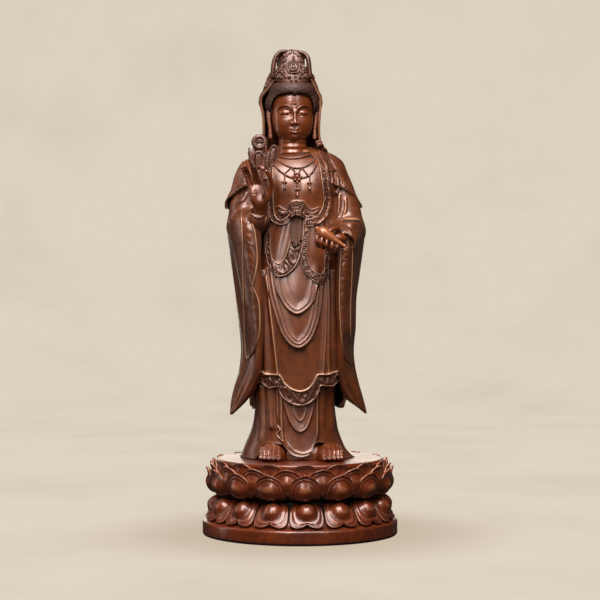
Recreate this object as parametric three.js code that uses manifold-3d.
// A standing guanyin of cast copper with a brown patina, on its own double lotus base.
// The figure holds a willow sprig in its raised right hand and pours from a small pointed
// vase with its left. Millimetres, +Z up, the figure faces -Y and its right hand is at -X.
// The origin is the centre of the base's underside.

import * as THREE from "three";
import { mergeVertices } from "three/addons/utils/BufferGeometryUtils.js";
import Module from "manifold-3d";

const wasm = await Module();
wasm.setup();

// Driving dimensions: the figure
const FIGURE_HEIGHT = 405.2;
const SEAT_GAP = 0.3;
const GRIP_GAP = 0.35;

// Driving dimensions: the lotus base
const DISC_RADIUS = 96;
const DISC_HEIGHT = 14.5;
const DISC_CHAMFER = 1;
const WAIST_RADIUS = 70;
const WAIST_HEIGHT = 38;
const PLATFORM_RADIUS = 82;
const PLATFORM_HEIGHT = 74.5;
const PLATFORM_EDGE = 5;
const PETALS_ROUND = 16;
const PETAL_TURN_DEG = 3;
const PETAL_SPREAD = 0.46;
const PETAL_FLARE = 11;
const PETAL_DEPTH = 4;
const BOWL_PETAL_BELLY = 2.6;
const APRON_PETAL_BELLY = 3.4;
const BOWL_SETBACK = 2;
const PLATFORM_CHAMFER = 1;
const CAST_EVENNESS = 0.4;

// Driving dimensions: the cloth
const LAYER = 3.04;
const HEM_BORDER = 12.15;

// Driving dimensions: what the hands hold
const VASE_LENGTH = 33;
const VASE_RADIUS = 4.6;
const VASE_MOUTH_RADIUS = 1.5;
const SPRIG_STEM_RADIUS = 0.9;

const COPPER = { color: 0x7a4526, roughness: 0.34, metalness: 0.75 };
const DARK_COPPER = { color: 0x4a3026, roughness: 0.45, metalness: 0.6 };

// The figure is laid out in hundredths of its own height, with its feet at zero.
const UNIT = FIGURE_HEIGHT / 100;
const FEET_LEVEL = PLATFORM_HEIGHT + SEAT_GAP;
const FULL_TURN = 2 * Math.PI;

const point = (x, y, z) => new THREE.Vector3(x, y, z);
const mix = (a, b, t) => a + (b - a) * t;
const smooth = (t) => THREE.MathUtils.smoothstep(t, 0, 1);
const steps = (count, make) => Array.from({ length: count + 1 }, (_, i) => make(i / count, i));

// A bell of height 1 at zero that falls to nothing at +-1.
const bump = (t) => (Math.abs(t) < 1 ? Math.cos((t * Math.PI) / 2) ** 2 : 0);

// Joining and cutting

function geometryOf(points, index) {
  const geometry = new THREE.BufferGeometry();
  const positions = new Float32Array(points.flatMap((p) => [p.x, p.y, p.z]));
  geometry.setAttribute("position", new THREE.BufferAttribute(positions, 3));
  geometry.setIndex(index);
  return geometry;
}

function solidOf(geometry) {
  const bare = geometry.clone();
  bare.deleteAttribute("normal");
  bare.deleteAttribute("uv");
  const merged = mergeVertices(bare, 1e-3);
  const corners = merged.index.array;
  const faces = [];
  for (let i = 0; i < corners.length; i += 3) {
    const [a, b, c] = corners.slice(i, i + 3);
    if (a !== b && b !== c && c !== a) faces.push(a, b, c);
  }
  return new wasm.Manifold(
    new wasm.Mesh({
      numProp: 3,
      vertProperties: merged.attributes.position.array,
      triVerts: new Uint32Array(faces),
    }),
  );
}

const join = (solids) => solids.reduce((whole, part) => whole.add(part));

function geometryFrom(solid) {
  const made = solid.getMesh();
  const geometry = new THREE.BufferGeometry();
  geometry.setAttribute("position", new THREE.BufferAttribute(new Float32Array(made.vertProperties), 3));
  geometry.setIndex(new THREE.BufferAttribute(new Uint32Array(made.triVerts), 1));
  return geometry;
}

// The outer body alone, which fills the small pockets that joined parts shut in.
const outermost = (solid) => solid.decompose().sort((a, b) => b.volume() - a.volume())[0];

// A cast surface: slivers left by the joins are evened out.
function cast(solid) {
  const even = outermost(solidOf(geometryFrom(solid))).simplify(CAST_EVENNESS);
  return outermost(solidOf(geometryFrom(even)));
}

function meshOf(solid, name, look) {
  const geometry = geometryFrom(solid);
  geometry.computeVertexNormals();
  const mesh = new THREE.Mesh(geometry, new THREE.MeshStandardMaterial(look));
  mesh.name = name;
  return mesh;
}

// Forms

// A closed body through rings of points that run counter-clockwise, from the lowest ring up.
function loft(rings) {
  const around = rings[0].length;
  const points = rings.flat();
  const index = [];
  const quad = (a, b, c, d) => index.push(a, b, c, a, c, d);
  for (let i = 0; i < rings.length - 1; i++) {
    for (let j = 0; j < around; j++) {
      const next = (j + 1) % around;
      quad(i * around + j, i * around + next, (i + 1) * around + next, (i + 1) * around + j);
    }
  }
  const cap = (ring, start, turned) => {
    const middle = ring.reduce((sum, p) => sum.add(p), point(0, 0, 0)).divideScalar(around);
    const hub = points.push(middle) - 1;
    for (let j = 0; j < around; j++) {
      const ends = [start + j, start + ((j + 1) % around)];
      index.push(hub, ...(turned ? ends.reverse() : ends));
    }
  };
  cap(rings[0], 0, true);
  cap(rings[rings.length - 1], (rings.length - 1) * around, false);
  return solidOf(geometryOf(points, index));
}

// A closed body between an outer and an inner grid of points. Columns run from left to right
// and rows run upward, seen from outside.
function slab(outer, inner) {
  const rows = outer.length;
  const columns = outer[0].length;
  const out = (i, j) => i * columns + j;
  const back = (i, j) => (rows + i) * columns + j;
  const index = [];
  const quad = (a, b, c, d) => index.push(a, b, c, a, c, d);
  for (let i = 0; i < rows - 1; i++) {
    for (let j = 0; j < columns - 1; j++) {
      quad(out(i, j), out(i, j + 1), out(i + 1, j + 1), out(i + 1, j));
      quad(back(i, j), back(i + 1, j), back(i + 1, j + 1), back(i, j + 1));
    }
  }
  const top = rows - 1;
  const right = columns - 1;
  for (let j = 0; j < right; j++) {
    quad(back(0, j), back(0, j + 1), out(0, j + 1), out(0, j));
    quad(out(top, j), out(top, j + 1), back(top, j + 1), back(top, j));
  }
  for (let i = 0; i < top; i++) {
    quad(out(i, 0), out(i + 1, 0), back(i + 1, 0), back(i, 0));
    quad(back(i, right), back(i + 1, right), out(i + 1, right), out(i, right));
  }
  return solidOf(geometryOf([...outer.flat(), ...inner.flat()], index));
}

// A round limb through a few points, with a radius at each and domed ends.
function limb(places, radii, sides = 8) {
  const last = places.length - 1;
  const centres = places.map((_, i) => point(...places[i]));
  const tangents = centres.map((_, i) =>
    centres[Math.min(i + 1, last)].clone().sub(centres[Math.max(i - 1, 0)]).normalize(),
  );
  let side = point(1, 0.3, 0.1).cross(tangents[0]).normalize();
  const ring = (centre, tangent, radius) => {
    side = side.clone().addScaledVector(tangent, -side.dot(tangent)).normalize();
    const other = tangent.clone().cross(side);
    return Array.from({ length: sides }, (_, j) => {
      const turn = (j / sides) * FULL_TURN;
      return centre
        .clone()
        .addScaledVector(side, radius * Math.cos(turn))
        .addScaledVector(other, radius * Math.sin(turn));
    });
  };
  const rings = centres.map((centre, i) => ring(centre, tangents[i], radii[i]));
  const dome = (i, way) =>
    ring(
      centres[i].clone().addScaledVector(tangents[i], way * radii[i] * 0.6),
      tangents[i],
      radii[i] * 0.62,
    );
  return loft([dome(0, -1), ...rings, dome(last, 1)]);
}

// An egg: a sphere stretched to three radii, then turned about X, Y and Z in degrees.
function egg(centre, radii, turns = [0, 0, 0], around = 10, high = 6) {
  const sphere = new THREE.SphereGeometry(1, around, high);
  sphere.rotateX(Math.PI / 2);
  sphere.scale(...radii);
  sphere.rotateX(THREE.MathUtils.degToRad(turns[0]));
  sphere.rotateY(THREE.MathUtils.degToRad(turns[1]));
  sphere.rotateZ(THREE.MathUtils.degToRad(turns[2]));
  sphere.translate(...centre);
  return solidOf(sphere);
}

// The values of a table of stations at one height, eased from each station to the next.
function stationAt(stations, z) {
  const above = Math.max(1, stations.findIndex((s) => s[0] >= z));
  const high = z > stations[stations.length - 1][0] ? stations.length - 1 : above;
  const [low, top] = [stations[high - 1], stations[high]];
  const t = THREE.MathUtils.clamp((z - low[0]) / (top[0] - low[0]), 0, 1);
  return low.slice(1).map((value, i) => mix(value, top[i + 1], t));
}

// A draped body of oval sections: stations hold height, half width, half depth and the centre.
function draped(stations, levels, around, { hem = () => 0, fold = () => 0 } = {}) {
  const [foot, top] = [stations[0][0], stations[stations.length - 1][0]];
  return loft(
    levels.map((level) =>
      Array.from({ length: around }, (_, j) => {
        const turn = (j / around) * FULL_TURN;
        const z = mix(foot + hem(turn), top, level);
        const [width, depth, x, y] = stationAt(stations, z);
        const swell = 1 + fold(turn, z);
        return point(x + width * swell * Math.cos(turn), y + depth * swell * Math.sin(turn), z);
      }),
    ),
  );
}

// The figure's garments, in hundredths of its height

const UNDERSKIRT = [
  [0, 13.7, 10.4, -0.85, 0.9],
  [1.1, 12.8, 9.8, -1.2, 0.7],
  [3.0, 11.8, 9.2, -1.5, 0.5],
  [7.6, 10.2, 8.6, -1.4, 0.3],
  [13.2, 9.7, 8.4, -1.3, 0.2],
  [23.4, 10.4, 8.6, -0.5, 0],
];
const ROBE = [
  [13, 11.3, 9.6, -0.4, 0.6],
  [21.4, 11.3, 9.6, -0.4, 0.2],
  [31.4, 11.2, 9.8, -0.4, 0],
  [39.5, 11.0, 9.9, -0.5, -0.1],
  [47.6, 10.7, 9.2, -0.6, 0],
  [54.7, 10.3, 8.4, -0.8, 0.2],
  [60.8, 10.5, 8.0, -1.0, 0.3],
  [65.8, 11.4, 7.8, -1.2, 0.4],
  [69.5, 11.6, 7.0, -1.3, 0.6],
  [72, 8.6, 5.6, -1.2, 0.7],
  [73.6, 5.4, 4.6, -1.1, 0.4],
  [75, 4.0, 3.9, -1.1, 0],
];
const HEM_SWELL = 1.045;

// A length in millimetres as hundredths of the figure's height.
const share = (millimetres) => millimetres / UNIT;

const frontLevel = (turn) => Math.max(0, -Math.sin(turn));
const backLevel = (turn) => Math.max(0, Math.sin(turn));

// The depth of the robe's front at a place seen from the front, less a lift towards the viewer.
function robeFront(x, z, lift = 0) {
  const [width, depth, centreX, centreY] = stationAt(z < ROBE[0][0] ? UNDERSKIRT : ROBE, z);
  const across = THREE.MathUtils.clamp((x - centreX) / width, -0.98, 0.98);
  return centreY - depth * Math.sqrt(1 - across * across) - lift;
}

// The upper robe's lower edge: a deep lobe in the middle, a shallow one on each side.
function robeHem(turn) {
  const side = Math.abs(Math.cos(turn));
  const front = side < 0.38 ? 16 * side * side : 4.3;
  return frontLevel(turn) > 0 ? front : 0.4 * Math.cos(6 * turn);
}

function underskirt() {
  const fold = (turn, z) =>
    0.035 * smooth((22 - z) / 16) * Math.cos(9 * turn) * (0.35 + 0.65 * backLevel(turn));
  const skirt = draped(UNDERSKIRT, [0, 0.06, 0.15, 0.34, 0.6, 1], 28, { fold });
  const archways = [-6.4, 6.0].map((x) => egg([x, -9.6, 0], [3.5, 4.4, 2.9], [0, 0, 0], 10, 6));
  const panel = [
    [-3.4, 9],
    [-3.1, 4.6],
    [-2.2, 1.9],
    [0, 1.2],
    [2.2, 1.9],
    [3.1, 4.6],
    [3.4, 9],
  ];
  const front = hangingPanel(panel, 11, (x, z) => robeFront(x, Math.max(z, 2.2), 0.7), 3);
  return [archways.reduce((whole, cut) => whole.subtract(cut), skirt), front];
}

// A cloth panel that hangs from a level edge down to a lobed outline, given from left to right.
function hangingPanel(outline, top, depthAt, thickness) {
  const outer = steps(2, (t) =>
    outline.map(([x, z]) => point(x, depthAt(x, mix(z, top, t)), mix(z, top, t))),
  );
  const inner = outer.map((row) => row.map((p) => point(p.x, p.y + thickness, p.z)));
  return slab(outer, inner);
}

// An outline that runs smoothly through a few places.
const splineOf = (places) => new THREE.SplineCurve(places.map(([x, z]) => new THREE.Vector2(x, z)));
const lobe = (places) => splineOf(places).getPoints(11).map(({ x, y }) => [x, y]);

// The raised border along a panel's lobed outline, which is wide towards a given focus.
function border(outline, [focusX, focusZ], inward) {
  const face = (push) =>
    [0, inward].map((t) =>
      outline.map(([x, z]) => {
        const place = [mix(x, focusX, t), mix(z, focusZ, t)];
        return point(place[0], robeFront(...place, push), place[1]);
      }),
    );
  return slab(face(share(LAYER) + 0.5), face(-0.6));
}

function upperRobe() {
  const fold = (turn, z) =>
    0.03 * Math.cos(8 * turn) * backLevel(turn) * smooth((66 - z) / 20) +
    0.035 * bump((z - 35) / 13) * bump((turn - 1.5 * Math.PI) / 0.8);
  const levels = [0, 0.13, 0.25, 0.35, 0.45, 0.57, 0.68, 0.79, 0.88, 0.93, 0.97, 1];
  return draped(ROBE, levels, 32, { hem: robeHem, fold });
}

// The border along the upper robe's lower edge, which stands a little off the cloth.
function hemBorder() {
  return loft(
    [0, share(HEM_BORDER)].map((rise) =>
      Array.from({ length: 32 }, (_, j) => {
        const turn = (j / 32) * FULL_TURN;
        const z = ROBE[0][0] + robeHem(turn) + rise;
        const [width, depth, x, y] = stationAt(ROBE, z);
        const [out, forward] = [width, depth].map((half) => half * HEM_SWELL);
        return point(x + out * Math.cos(turn), y + forward * Math.sin(turn), z - 0.1);
      }),
    ),
  );
}

// A strap of cloth laid along a line on the robe's front, with its width across the line.
function strap(line, width, lift, count = 14) {
  const path = splineOf(line);
  const edges = steps(count, (t) => {
    const at = path.getPoint(t);
    const along = path.getTangent(t);
    const half = (width * (0.75 + 0.25 * Math.sin(Math.PI * t))) / 2;
    return [1, -1].map((way) => [at.x + way * half * along.y, at.y - way * half * along.x]);
  });
  const face = (push) =>
    [0, 1].map((side) =>
      edges.map((pair) => point(pair[side][0], robeFront(...pair[side], push), pair[side][1])),
    );
  return slab(face(lift), face(-1));
}

// A rounded fold ridge laid along a line on the front.
function ridge(line, radius, lift = 0, depthAt = robeFront, count = 10) {
  const path = splineOf(line);
  const places = steps(count, (t) => {
    const at = path.getPoint(t);
    return [at.x, depthAt(at.x, at.y, lift), at.y];
  });
  return limb(
    places,
    places.map((_, i) => radius * (0.45 + 0.55 * Math.sin((Math.PI * i) / count))),
    5,
  );
}

// The line of a fold that hangs between two shoulders: half width, the height of its ends and its foot.
const hangingFold = (x, half, ends, foot) => [
  [x - half, ends],
  [x - half * 0.9, mix(foot, ends, 0.5)],
  [x - half * 0.55, mix(foot, ends, 0.12)],
  [x, foot],
  [x + half * 0.55, mix(foot, ends, 0.12)],
  [x + half * 0.9, mix(foot, ends, 0.5)],
  [x + half, ends],
];

function frontCloth() {
  const swagLeft = lobe(
    [[-8.6, 54], [-8.0, 47.5], [-6.4, 44.6], [-4.2, 43.8], [-1.4, 45.4], [0.1, 48.4], [1.0, 55]],
  );
  const swagRight = lobe(
    [[0.3, 54], [0.7, 46.8], [2.3, 43.5], [4.7, 42.0], [6.5, 43.2], [6.9, 47], [7.0, 52]],
  );
  return [
    hangingPanel(swagLeft, 58, (x, z) => robeFront(x, z, share(LAYER)), 2.5),
    hangingPanel(swagRight, 57, (x, z) => robeFront(x, z, share(LAYER)), 2.5),
    border(swagLeft, [-4.4, 62], 0.2),
    border(swagRight, [4.0, 60], 0.18),
    strap([[5.6, 72.4], [4.4, 69], [6.8, 64.5], [6.9, 60.5], [4.8, 57.4], [1.2, 56.4]], 2.1, 0.7),
    strap([[-6.3, 71.5], [-6.7, 66], [-6.6, 60], [-5.2, 57], [-2.6, 57.6], [-1.0, 60]], 1.2, 0.6),
    strap([[-0.7, 60.5], [-1.0, 55], [-0.8, 50], [-1.9, 45.4]], 2.2, share(LAYER) + 1.1, 8),
    ridge(hangingFold(-0.6, 4.9, 43, 35.1), 0.8, -0.1),
    ridge(hangingFold(-0.5, 5.9, 41, 27), 0.9, -0.15),
    ...[-6.2, 5.9, 8].map((x) => ridge([[x * 1.08, 41], [x, 30], [x * 0.94, 20.5]], 0.9, -0.15)),
    ridge(hangingFold(-0.1, 3.2, 12.6, 6.9), 0.6, 0.5),
    egg([-0.7, robeFront(-0.7, 61, 0.4), 61.2], [3.1, 1.6, 1.9]),
    egg([-4.6, robeFront(-4.6, 59.4, 0.1), 59.2], [2.2, 1.3, 1.3], [0, -20, 0], 10, 6),
    egg([3.6, robeFront(3.6, 59.4, 0.1), 59.4], [2.4, 1.3, 1.3], [0, 20, 0], 10, 6),
    egg([-4.5, robeFront(-4.5, 64, -2.2), 64.6], [4.6, 2.8, 5], [0, 0, 0], 12, 8),
    egg([2.9, robeFront(2.9, 64, -2.2), 64.6], [4.6, 2.8, 5], [0, 0, 0], 12, 8),
  ];
}

// A hanging sleeve: its stations hold height, centre, half length to the front, half thickness
// and turn in degrees.
function sleeve(stations) {
  return loft(
    stations.map(([z, x, y, length, thickness, turnDeg]) => {
      const lean = THREE.MathUtils.degToRad(turnDeg);
      return Array.from({ length: 18 }, (_, j) => {
        const turn = (j / 18) * FULL_TURN;
        const flute = 1 + 0.09 * Math.cos(5 * turn) * smooth((58 - z) / 20);
        const along = length * Math.sin(turn);
        const out = thickness * flute * Math.cos(turn);
        return point(
          x + out * Math.cos(lean) - along * Math.sin(lean),
          y + along * Math.cos(lean) + out * Math.sin(lean),
          z + 0.16 * along * smooth((20 - z) / 8) + 0.02 * along,
        );
      });
    }),
  );
}

const RIGHT_SLEEVE = [
  [10.5, -16.6, -1.0, 0.9, 0.5, 24],
  [13, -15.2, -1.2, 3.2, 1.3, 24],
  [17.5, -13.0, -1.6, 5.6, 2.2, 25],
  [23.5, -11.2, -2.2, 7.2, 2.6, 26],
  [32.5, -11.0, -2.8, 8.2, 2.9, 26],
  [41.5, -11.7, -3.2, 8.6, 3.3, 25],
  [50, -12.3, -3.6, 8.6, 3.7, 24],
  [54.8, -12.6, -4.0, 7.6, 4.1, 20],
  [57.6, -12.4, -4.4, 5.6, 3.4, 16],
  [59.4, -12.1, -4.4, 2.4, 1.6, 16],
];
const LEFT_SLEEVE = [
  [10.9, 15.6, -1.0, 0.9, 0.5, -24],
  [13, 14.3, -1.2, 3.0, 1.2, -24],
  [17.5, 11.5, -1.6, 5.4, 2.0, -24],
  [23.5, 9.9, -2.2, 7.4, 2.4, -22],
  [32.5, 10.1, -2.8, 8.6, 2.7, -20],
  [41.5, 10.6, -3.4, 9.0, 3.0, -18],
  [50, 11.4, -4.0, 9.0, 3.6, -16],
  [53.8, 11.8, -4.6, 8.0, 3.9, -14],
  [56.4, 11.8, -5.0, 6.0, 3.3, -14],
  [58, 11.8, -5.0, 2.4, 1.6, -14],
];

function armsAndSleeves() {
  return [
    sleeve(RIGHT_SLEEVE),
    sleeve(LEFT_SLEEVE),
    limb([[-11.8, 0.6, 66], [-12.5, 0.2, 61], [-12.6, -0.8, 54]], [3.8, 4.5, 4.6], 12),
    limb([[9.3, 0.6, 66], [10.7, 0.2, 61], [11.2, -0.8, 54.4]], [3.8, 4.4, 4.6], 12),
    limb([[-12, -2, 55.5], [-10.6, -7, 56.6], [-9.1, -11.2, 58.8]], [4, 3, 1.8], 10),
    limb([[11.6, -2, 54.6], [11.2, -7, 54], [10.0, -12, 53.4]], [4, 3.1, 2.0], 10),
    cape(),
  ];
}

// The shoulder cape, which lies behind the bare chest: its lower edge dips at each side.
const CAPE = [
  [61.6, 16.4, 6.8, -1.6, 0.4],
  [65.5, 15.2, 6.9, -1.4, 0.5],
  [69, 13.9, 6.6, -1.7, 0.8],
  [72, 12.6, 5.4, -1.8, 1.5],
  [73.4, 11.1, 4.6, -1.8, 2.0],
  [74.6, 8.7, 3.8, -1.8, 2.4],
  [75.6, 5.4, 2.8, -1.6, 2.8],
];

function cape() {
  const edge = (turn) => 5.4 * frontLevel(turn) ** 1.5 - 3.2 * backLevel(turn) ** 2;
  const flare = (turn, z) => 0.035 * bump((z - 61.6) / 2.2) * Math.abs(Math.cos(turn));
  return draped(CAPE, [0, 0.16, 0.4, 0.66, 0.8, 0.9, 1], 24, { hem: edge, fold: flare });
}

// Hands and feet

const finger = (places, thick) => limb(places, places.map((_, i) => thick * (1 - 0.13 * i)), 6);

function raisedHand() {
  return [
    egg([-9.5, -12.5, 62.9], [2.2, 1.15, 3.9], [4, 0, 0], 10, 8),
    egg([-7.8, -12.7, 63.1], [1.1, 1.2, 2.3], [0, 12, 0], 8, 6),
    limb([[-9.1, -11.4, 57.9], [-9.3, -12.1, 60.7]], [1.7, 1.5], 8),
    finger([[-11.2, -12.4, 64.9], [-12.3, -13.0, 67.1], [-13.2, -13.4, 69.1]], 0.68),
    finger([[-10.5, -12.6, 65.6], [-11.5, -13.2, 68.1], [-12.1, -13.9, 70.1]], 0.72),
    finger([[-9.7, -12.8, 65.8], [-10.3, -13.6, 68.7], [-10.6, -14.6, 70.9]], 0.75),
    finger([[-8.7, -12.8, 65.6], [-9.4, -14.1, 68.1], [-9.7, -15.2, 69.6], [-8.5, -15.5, 69.3]], 0.75),
    finger([[-7.4, -12.9, 64.1], [-7.0, -13.9, 66.5], [-7.9, -15.2, 68.6]], 0.85),
  ];
}

function pouringHand() {
  const curled = [3.7, 4.8, 5.9, 7.1].map((x, i) =>
    finger(
      [
        [x + 1.9, -13.2, 52.7],
        [x + 0.7, -14.8, 51 + 0.1 * i],
        [x, -16.6, 51.4 - 0.1 * i],
        [x, -17.2, 52.7 - 0.35 * i],
      ],
      0.72,
    ),
  );
  return [
    egg([8.1, -13.3, 53.4], [2.6, 1.3, 1.8], [0, 10, 0], 10, 8),
    finger([[9.3, -13.2, 54.3], [8.4, -14.6, 55.2], [7.0, -15.6, 55.5]], 0.8),
    ...curled,
  ];
}

function foot(x, spread) {
  const toes = [0, 1, 2, 3, 4].map((i) => {
    const toeX = x - spread * (1.9 - 0.95 * i);
    const length = 12.6 - 0.32 * i;
    const girth = 0.72 - 0.07 * i;
    return limb([[toeX, -10.2, 0.95], [toeX + spread * 0.12, -length, 0.66]], [girth, girth * 0.9], 6);
  });
  return [egg([x, -8.6, 0.4], [2.7, 4, 2.4], [0, 0, 0], 12, 8), ...toes];
}

// Head, hood and crown

// The head from the chin up, without its features.
const HEAD = [
  [76.8, 1.3, 1.4, -1.1, -3.2],
  [77.5, 2.4, 2.7, -1.1, -2.5],
  [78.8, 3.4, 4.0, -1.1, -1.5],
  [80.6, 4.2, 4.8, -1.15, -0.9],
  [83, 4.7, 5.2, -1.2, -0.6],
  [86, 4.85, 5.4, -1.2, -0.4],
  [89, 4.6, 5.2, -1.3, -0.2],
  [92, 3.6, 4.2, -1.4, 0.3],
  [94, 2, 2.6, -1.5, 0.5],
];
const FACE_X = -0.95;
const face = (x, z, lift) => {
  const [width, depth, centreX, centreY] = stationAt(HEAD, z);
  const across = THREE.MathUtils.clamp((x - centreX) / width, -0.95, 0.95);
  return centreY - depth * Math.sqrt(1 - across * across) - lift;
};

function head() {
  const nose = limb(
    [[FACE_X, face(FACE_X, 86, -0.3), 86], [FACE_X, face(FACE_X, 83.6, 0.1), 83.6],
      [FACE_X, face(FACE_X, 82.4, 0.35), 82.4]],
    [0.35, 0.5, 0.72],
    6,
  );
  const lids = [-1.95, 1.95].map((x) =>
    egg([FACE_X + x, face(FACE_X + x, 84.4, -0.25), 84.4], [1.35, 0.55, 0.62], [0, 0, x * 8], 8, 6),
  );
  const lips = [[80.75, 1.15], [80.1, 0.9]].map(([z, half]) =>
    egg([FACE_X, face(FACE_X, z, -0.15), z], [half, 0.5, 0.36], [0, 0, 0], 8, 4),
  );
  const ears = [-1, 1].map((way) =>
    limb(
      [[-1.3 + 4.9 * way, -0.5, 85.6], [-1.3 + 5.2 * way, -0.9, 82.6], [-1.3 + 5.0 * way, -1.2, 78.4]],
      [0.85, 0.8, 0.7],
      6,
    ),
  );
  const hair = limb(
    steps(8, (t) => {
      const turn = mix(-0.44, 0.44, t) * Math.PI;
      return [-1.35 + 4.9 * Math.sin(turn), -4.6 * Math.cos(turn) - 0.2, 89.9 - 2.6 * (1 - Math.cos(turn))];
    }),
    steps(8, () => 1.35),
    6,
  );
  return [
    draped(HEAD, [0, 0.05, 0.13, 0.24, 0.37, 0.53, 0.7, 0.86, 1], 16),
    nose,
    ...lids,
    ...lips,
    ...ears,
    hair,
    limb([[-1.1, -0.4, 72], [-1.15, -0.7, 78.5]], [3.7, 3.4], 14),
  ];
}

const HOOD = [
  [61, 6.0, 1.8, -1.2, 6.2],
  [66, 6.8, 2.6, -1.3, 5.4],
  [72, 7.2, 3.6, -1.6, 4.4],
  [78, 7.2, 4.8, -1.9, 3.1],
  [84, 7.3, 5.6, -2.0, 2.1],
  [87.4, 7.4, 5.9, -2.1, 1.5],
  [90.6, 6.4, 5.7, -2.2, 1.0],
  [93.3, 5.5, 5.0, -2.2, 0.8],
  [96.4, 4.8, 4.3, -2.1, 0.6],
  [98.4, 4.2, 3.7, -2.1, 0.6],
  [99.5, 3.2, 2.9, -2.1, 0.6],
  [100, 1.8, 1.8, -2.1, 0.6],
];

function hoodAndCrown() {
  const fold = (turn, z) => 0.03 * Math.cos(7 * turn) * backLevel(turn) * smooth((92 - z) / 20);
  const plate = (t, s) => {
    const z = mix(90.4, 98.9 - 1.6 * (2 * s - 1) ** 2, t);
    const x = -1.6 + mix(5.4, 3.9, t) * (2 * s - 1);
    return point(x, -5.1 + 1.9 * (2 * s - 1) ** 2 + 1.7 * t * t, z);
  };
  const outer = steps(3, (t) => steps(6, (s) => plate(t, s)));
  const inner = outer.map((row) => row.map((p) => point(p.x * 0.9 - 0.15, p.y + 2.6, p.z - 0.3)));
  const lobes = [-1, 1].map((way) =>
    limb(
      steps(6, (t) => {
        const turn = mix(-0.6, 0.8, t) * Math.PI;
        return [-2.0 + way * (3.5 + 1.15 * Math.cos(turn)), -2.0, 95.8 + 2.6 * Math.sin(turn)];
      }),
      steps(6, () => 0.6),
      6,
    ),
  );
  return [
    draped(HOOD, HOOD.map(([z]) => (z - 61) / 39), 24, { fold }),
    slab(outer, inner),
    ...lobes,
    egg([-1.5, -5.2, 94.2], [1.4, 0.9, 1.7], [0, 0, 0], 8, 6),
    egg([-1.5, -4.8, 96.2], [0.6, 0.6, 0.8], [0, 0, 0], 6, 4),
  ];
}

// Two strings of beads across the chest, with three drops.
function necklace() {
  const chest = (x, z, lift) => robeFront(x, z, lift) + (z > 69 ? 1.2 : 0);
  const string = (half, foot) => {
    const [low, high] = [mix(72, foot, 0.75), 72];
    const line = [
      [-1 - half, high],
      [-1 - half * 0.6, low],
      [-1, foot],
      [-1 + half * 0.6, low],
      [-1 + half, high],
    ];
    return ridge(line, 0.36, 0.35, chest, 8);
  };
  const drops = [[-4.3, 67], [-1, 66.2], [2.4, 67]].map(([x, z]) =>
    limb([[x, robeFront(x, z, 0.3), z], [x, robeFront(x, z - 3, 0.5), z - 3.2]], [0.25, 0.5], 6),
  );
  return [string(5.0, 70.2), string(5.4, 67), ...drops];
}

// What the hands hold, in the figure's units

function vase(extra = 0) {
  const [length, radius, mouth] = [VASE_LENGTH, VASE_RADIUS, VASE_MOUTH_RADIUS].map(share);
  const swell = share(extra);
  const outline = [
    [0, -swell],
    [radius * 0.62 + swell, -swell],
    [radius * 0.95 + swell, length * 0.1],
    [radius + swell, length * 0.24],
    [radius * 0.82 + swell, length * 0.42],
    [mouth * 0.72 + swell, length * 0.74],
    [mouth * 0.62 + swell, length * 0.93],
    [mouth + swell, length * 0.98],
    [mouth + swell, length + swell],
    [0, length + swell],
  ];
  const turned = new THREE.LatheGeometry(outline.map(([r, z]) => new THREE.Vector2(r, z)), 10);
  const pose = new THREE.Matrix4().compose(
    point(3.7, -15.7, 55.9),
    new THREE.Quaternion().setFromUnitVectors(point(0, 1, 0), point(6.6, -1.0, -4.3).normalize()),
    point(1, 1, 1),
  );
  return solidOf(turned.applyMatrix4(pose));
}

// The leaves' loops are carving, laid out in the figure's own units round the stem.
const SPRIG_LOOP = 0.84;

function sprig(extra = 0) {
  const stem = share(SPRIG_STEM_RADIUS + extra);
  const y = -15.6;
  const leaf = (places) => limb(places.map(([x, z]) => [x, y + 0.35, z]), places.map(() => stem * 1.35), 6);
  const arch = steps(8, (t) => {
    const turn = Math.PI * t;
    return [-9.9 + SPRIG_LOOP * 2.1 * Math.cos(turn), 72.2 + SPRIG_LOOP * 3.4 * Math.sin(turn)];
  });
  const curl = steps(8, (t) => {
    const turn = mix(-0.4, 1.35, t) * Math.PI;
    return [-9.4 + SPRIG_LOOP * 1.7 * Math.cos(turn), 76.3 + SPRIG_LOOP * 1.4 * Math.sin(turn)];
  });
  return join([
    limb([[-8.9, y - 0.6, 62.6], [-8.9, y - 0.7, 66], [-8.9, y - 0.3, 70]], [stem * 1.5, stem, stem], 8),
    limb([[-8.9, y - 0.3, 69.6], [-9.4, y + 0.2, 72], [-9.6, y + 0.3, 75.4]], [stem, stem, stem], 6),
    leaf(arch),
    leaf(curl),
    leaf([[-9.1, 70.2], [-7.2, 72.4], [-6.1, 75.4], [-7.3, 74.4], [-8.6, 71.6]]),
    leaf([[-9.1, 70.4], [-11.4, 72.0], [-11.9, 74.4]]),
  ]);
}

// The lotus base

// One petal: its sections run from root to tip along a meridian of [radius, height] pairs. Each
// section has a swollen face and one point behind it.
function petal(meridian, halfAngle, middleTurn, { belly, depth, rows, columns, hangs = false }) {
  const curve = new THREE.SplineCurve(meridian.map(([r, z]) => new THREE.Vector2(r, z)));
  const side = hangs ? -1 : 1;
  return loft(
    rows.map((t) => {
      const place = curve.getPoint(t);
      const slope = curve.getTangent(t);
      const halfWidth = halfAngle * (0.7 + 0.3 * smooth(t * 2.5)) * Math.sqrt(1 - t ** 4);
      const at = (across, out) => {
        const turn = middleTurn + side * across * halfWidth;
        const radius = place.x + side * out * slope.y;
        return point(radius * Math.cos(turn), radius * Math.sin(turn), place.y - side * out * slope.x);
      };
      const swell = belly * bump((t - 0.42) / 0.58);
      const front = steps(columns, (s) => at(2 * s - 1, swell * bump((2 * s - 1) * 0.95)));
      return [...front, at(0, -depth * (1 - t * t))];
    }),
  );
}

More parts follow.
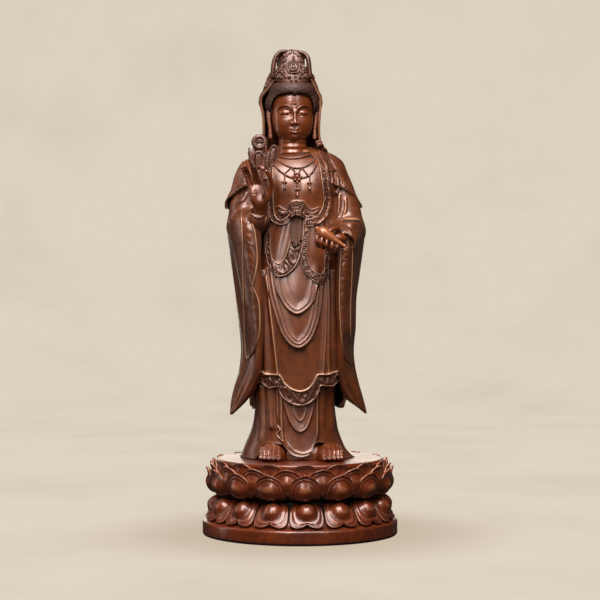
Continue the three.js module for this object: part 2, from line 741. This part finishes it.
// The petal rows: each holds its meridian, its shift in petal steps and how far it swells.
const bowlTop = PLATFORM_HEIGHT - PLATFORM_EDGE;
const bowlLevel = (t) => mix(WAIST_HEIGHT, PLATFORM_HEIGHT, t);
const apronLevel = (t) => mix(WAIST_HEIGHT, DISC_HEIGHT, t);
const apronRadius = (t) => mix(WAIST_RADIUS, DISC_RADIUS, t);
const PETAL_ROWS = [
  {
    meridian: [
      [WAIST_RADIUS + PETAL_FLARE * 0.1, bowlLevel(0)],
      [PLATFORM_RADIUS + PETAL_FLARE * 0.27, bowlLevel(0.12)],
      [PLATFORM_RADIUS + PETAL_FLARE * 0.64, bowlLevel(0.38)],
      [PLATFORM_RADIUS + PETAL_FLARE, bowlLevel(0.68)],
    ],
    shift: 0,
    form: { belly: BOWL_PETAL_BELLY, depth: PETAL_DEPTH, rows: [0, 0.4, 0.8, 1], columns: 4 },
  },
  {
    meridian: [
      [PLATFORM_RADIUS - PETAL_FLARE * 0.1, bowlLevel(0.22)],
      [PLATFORM_RADIUS + PETAL_FLARE * 0.41, bowlLevel(0.46)],
      [PLATFORM_RADIUS + PETAL_FLARE * 0.82, bowlLevel(0.86)],
    ],
    shift: 0.5,
    form: { belly: BOWL_PETAL_BELLY * 0.55, depth: PETAL_DEPTH, rows: [0, 0.75, 1], columns: 2 },
  },
  {
    meridian: [
      [PLATFORM_RADIUS - PETAL_FLARE * 0.1, bowlLevel(0.55)],
      [PLATFORM_RADIUS + PETAL_FLARE * 0.18, bowlLevel(0.8)],
      [PLATFORM_RADIUS + PETAL_FLARE * 0.36, bowlLevel(1.01)],
    ],
    shift: 0,
    form: { belly: BOWL_PETAL_BELLY * 0.15, depth: PETAL_DEPTH * 0.75, rows: [0, 0.75, 1], columns: 2 },
  },
  {
    meridian: [
      [apronRadius(0.02), apronLevel(0.04)],
      [apronRadius(0.55), apronLevel(0.3)],
      [apronRadius(0.76), apronLevel(0.7)],
      [apronRadius(0.88), apronLevel(0.88)],
    ],
    shift: 0,
    form: {
      belly: APRON_PETAL_BELLY,
      depth: PETAL_DEPTH,
      rows: [0, 0.4, 0.8, 1],
      columns: 4,
      hangs: true,
    },
  },
];

function lotusBase() {
  const profile = [
    [0, 0],
    [DISC_RADIUS - DISC_CHAMFER, 0],
    [DISC_RADIUS, DISC_CHAMFER],
    [DISC_RADIUS, DISC_HEIGHT - DISC_CHAMFER],
    [DISC_RADIUS - DISC_CHAMFER, DISC_HEIGHT],
    [apronRadius(0.84), DISC_HEIGHT],
    [apronRadius(0.6), apronLevel(0.62)],
    [apronRadius(0.25), apronLevel(0.2)],
    [WAIST_RADIUS, WAIST_HEIGHT],
    [PLATFORM_RADIUS - BOWL_SETBACK, bowlLevel(0.25)],
    [PLATFORM_RADIUS - BOWL_SETBACK * 0.75, bowlTop],
    [PLATFORM_RADIUS, bowlTop + PLATFORM_CHAMFER],
    [PLATFORM_RADIUS, PLATFORM_HEIGHT],
    [0, PLATFORM_HEIGHT],
  ];
  const body = new THREE.LatheGeometry(profile.map(([r, z]) => new THREE.Vector2(r, z)), PETALS_ROUND * 2);
  body.rotateX(Math.PI / 2);
  const pitch = FULL_TURN / PETALS_ROUND;
  const start = THREE.MathUtils.degToRad(PETAL_TURN_DEG - 90);
  const petals = PETAL_ROWS.flatMap(({ meridian, shift, form }) =>
    Array.from({ length: PETALS_ROUND }, (_, i) =>
      petal(meridian, pitch * PETAL_SPREAD, start + pitch * (i + shift), form),
    ),
  );
  return join([solidOf(body), ...petals]);
}

// The whole

const inPlace = (solid) => solid.scale(UNIT).translate([0, 0, FEET_LEVEL]);

const ground = solidOf(new THREE.BoxGeometry(80, 80, 20).translate(0, 0, -10));
const figureSolid = join([
  ...underskirt(),
  upperRobe(),
  hemBorder(),
  ...frontCloth(),
  ...armsAndSleeves(),
  ...raisedHand(),
  ...pouringHand(),
  ...foot(-6.3, 1),
  ...foot(6.1, -1),
  ...head(),
  ...hoodAndCrown(),
  ...necklace(),
])
  .subtract(ground)
  .subtract(vase(GRIP_GAP))
  .subtract(sprig(GRIP_GAP));

const guanyin = new THREE.Group();
guanyin.name = "guanyin";
guanyin.add(
  meshOf(cast(lotusBase()), "lotus_base", COPPER),
  meshOf(cast(inPlace(figureSolid)), "figure", COPPER),
  meshOf(cast(inPlace(vase())), "nectar_vase", COPPER),
  meshOf(cast(inPlace(sprig())), "willow_sprig", DARK_COPPER),
);

export default guanyin;
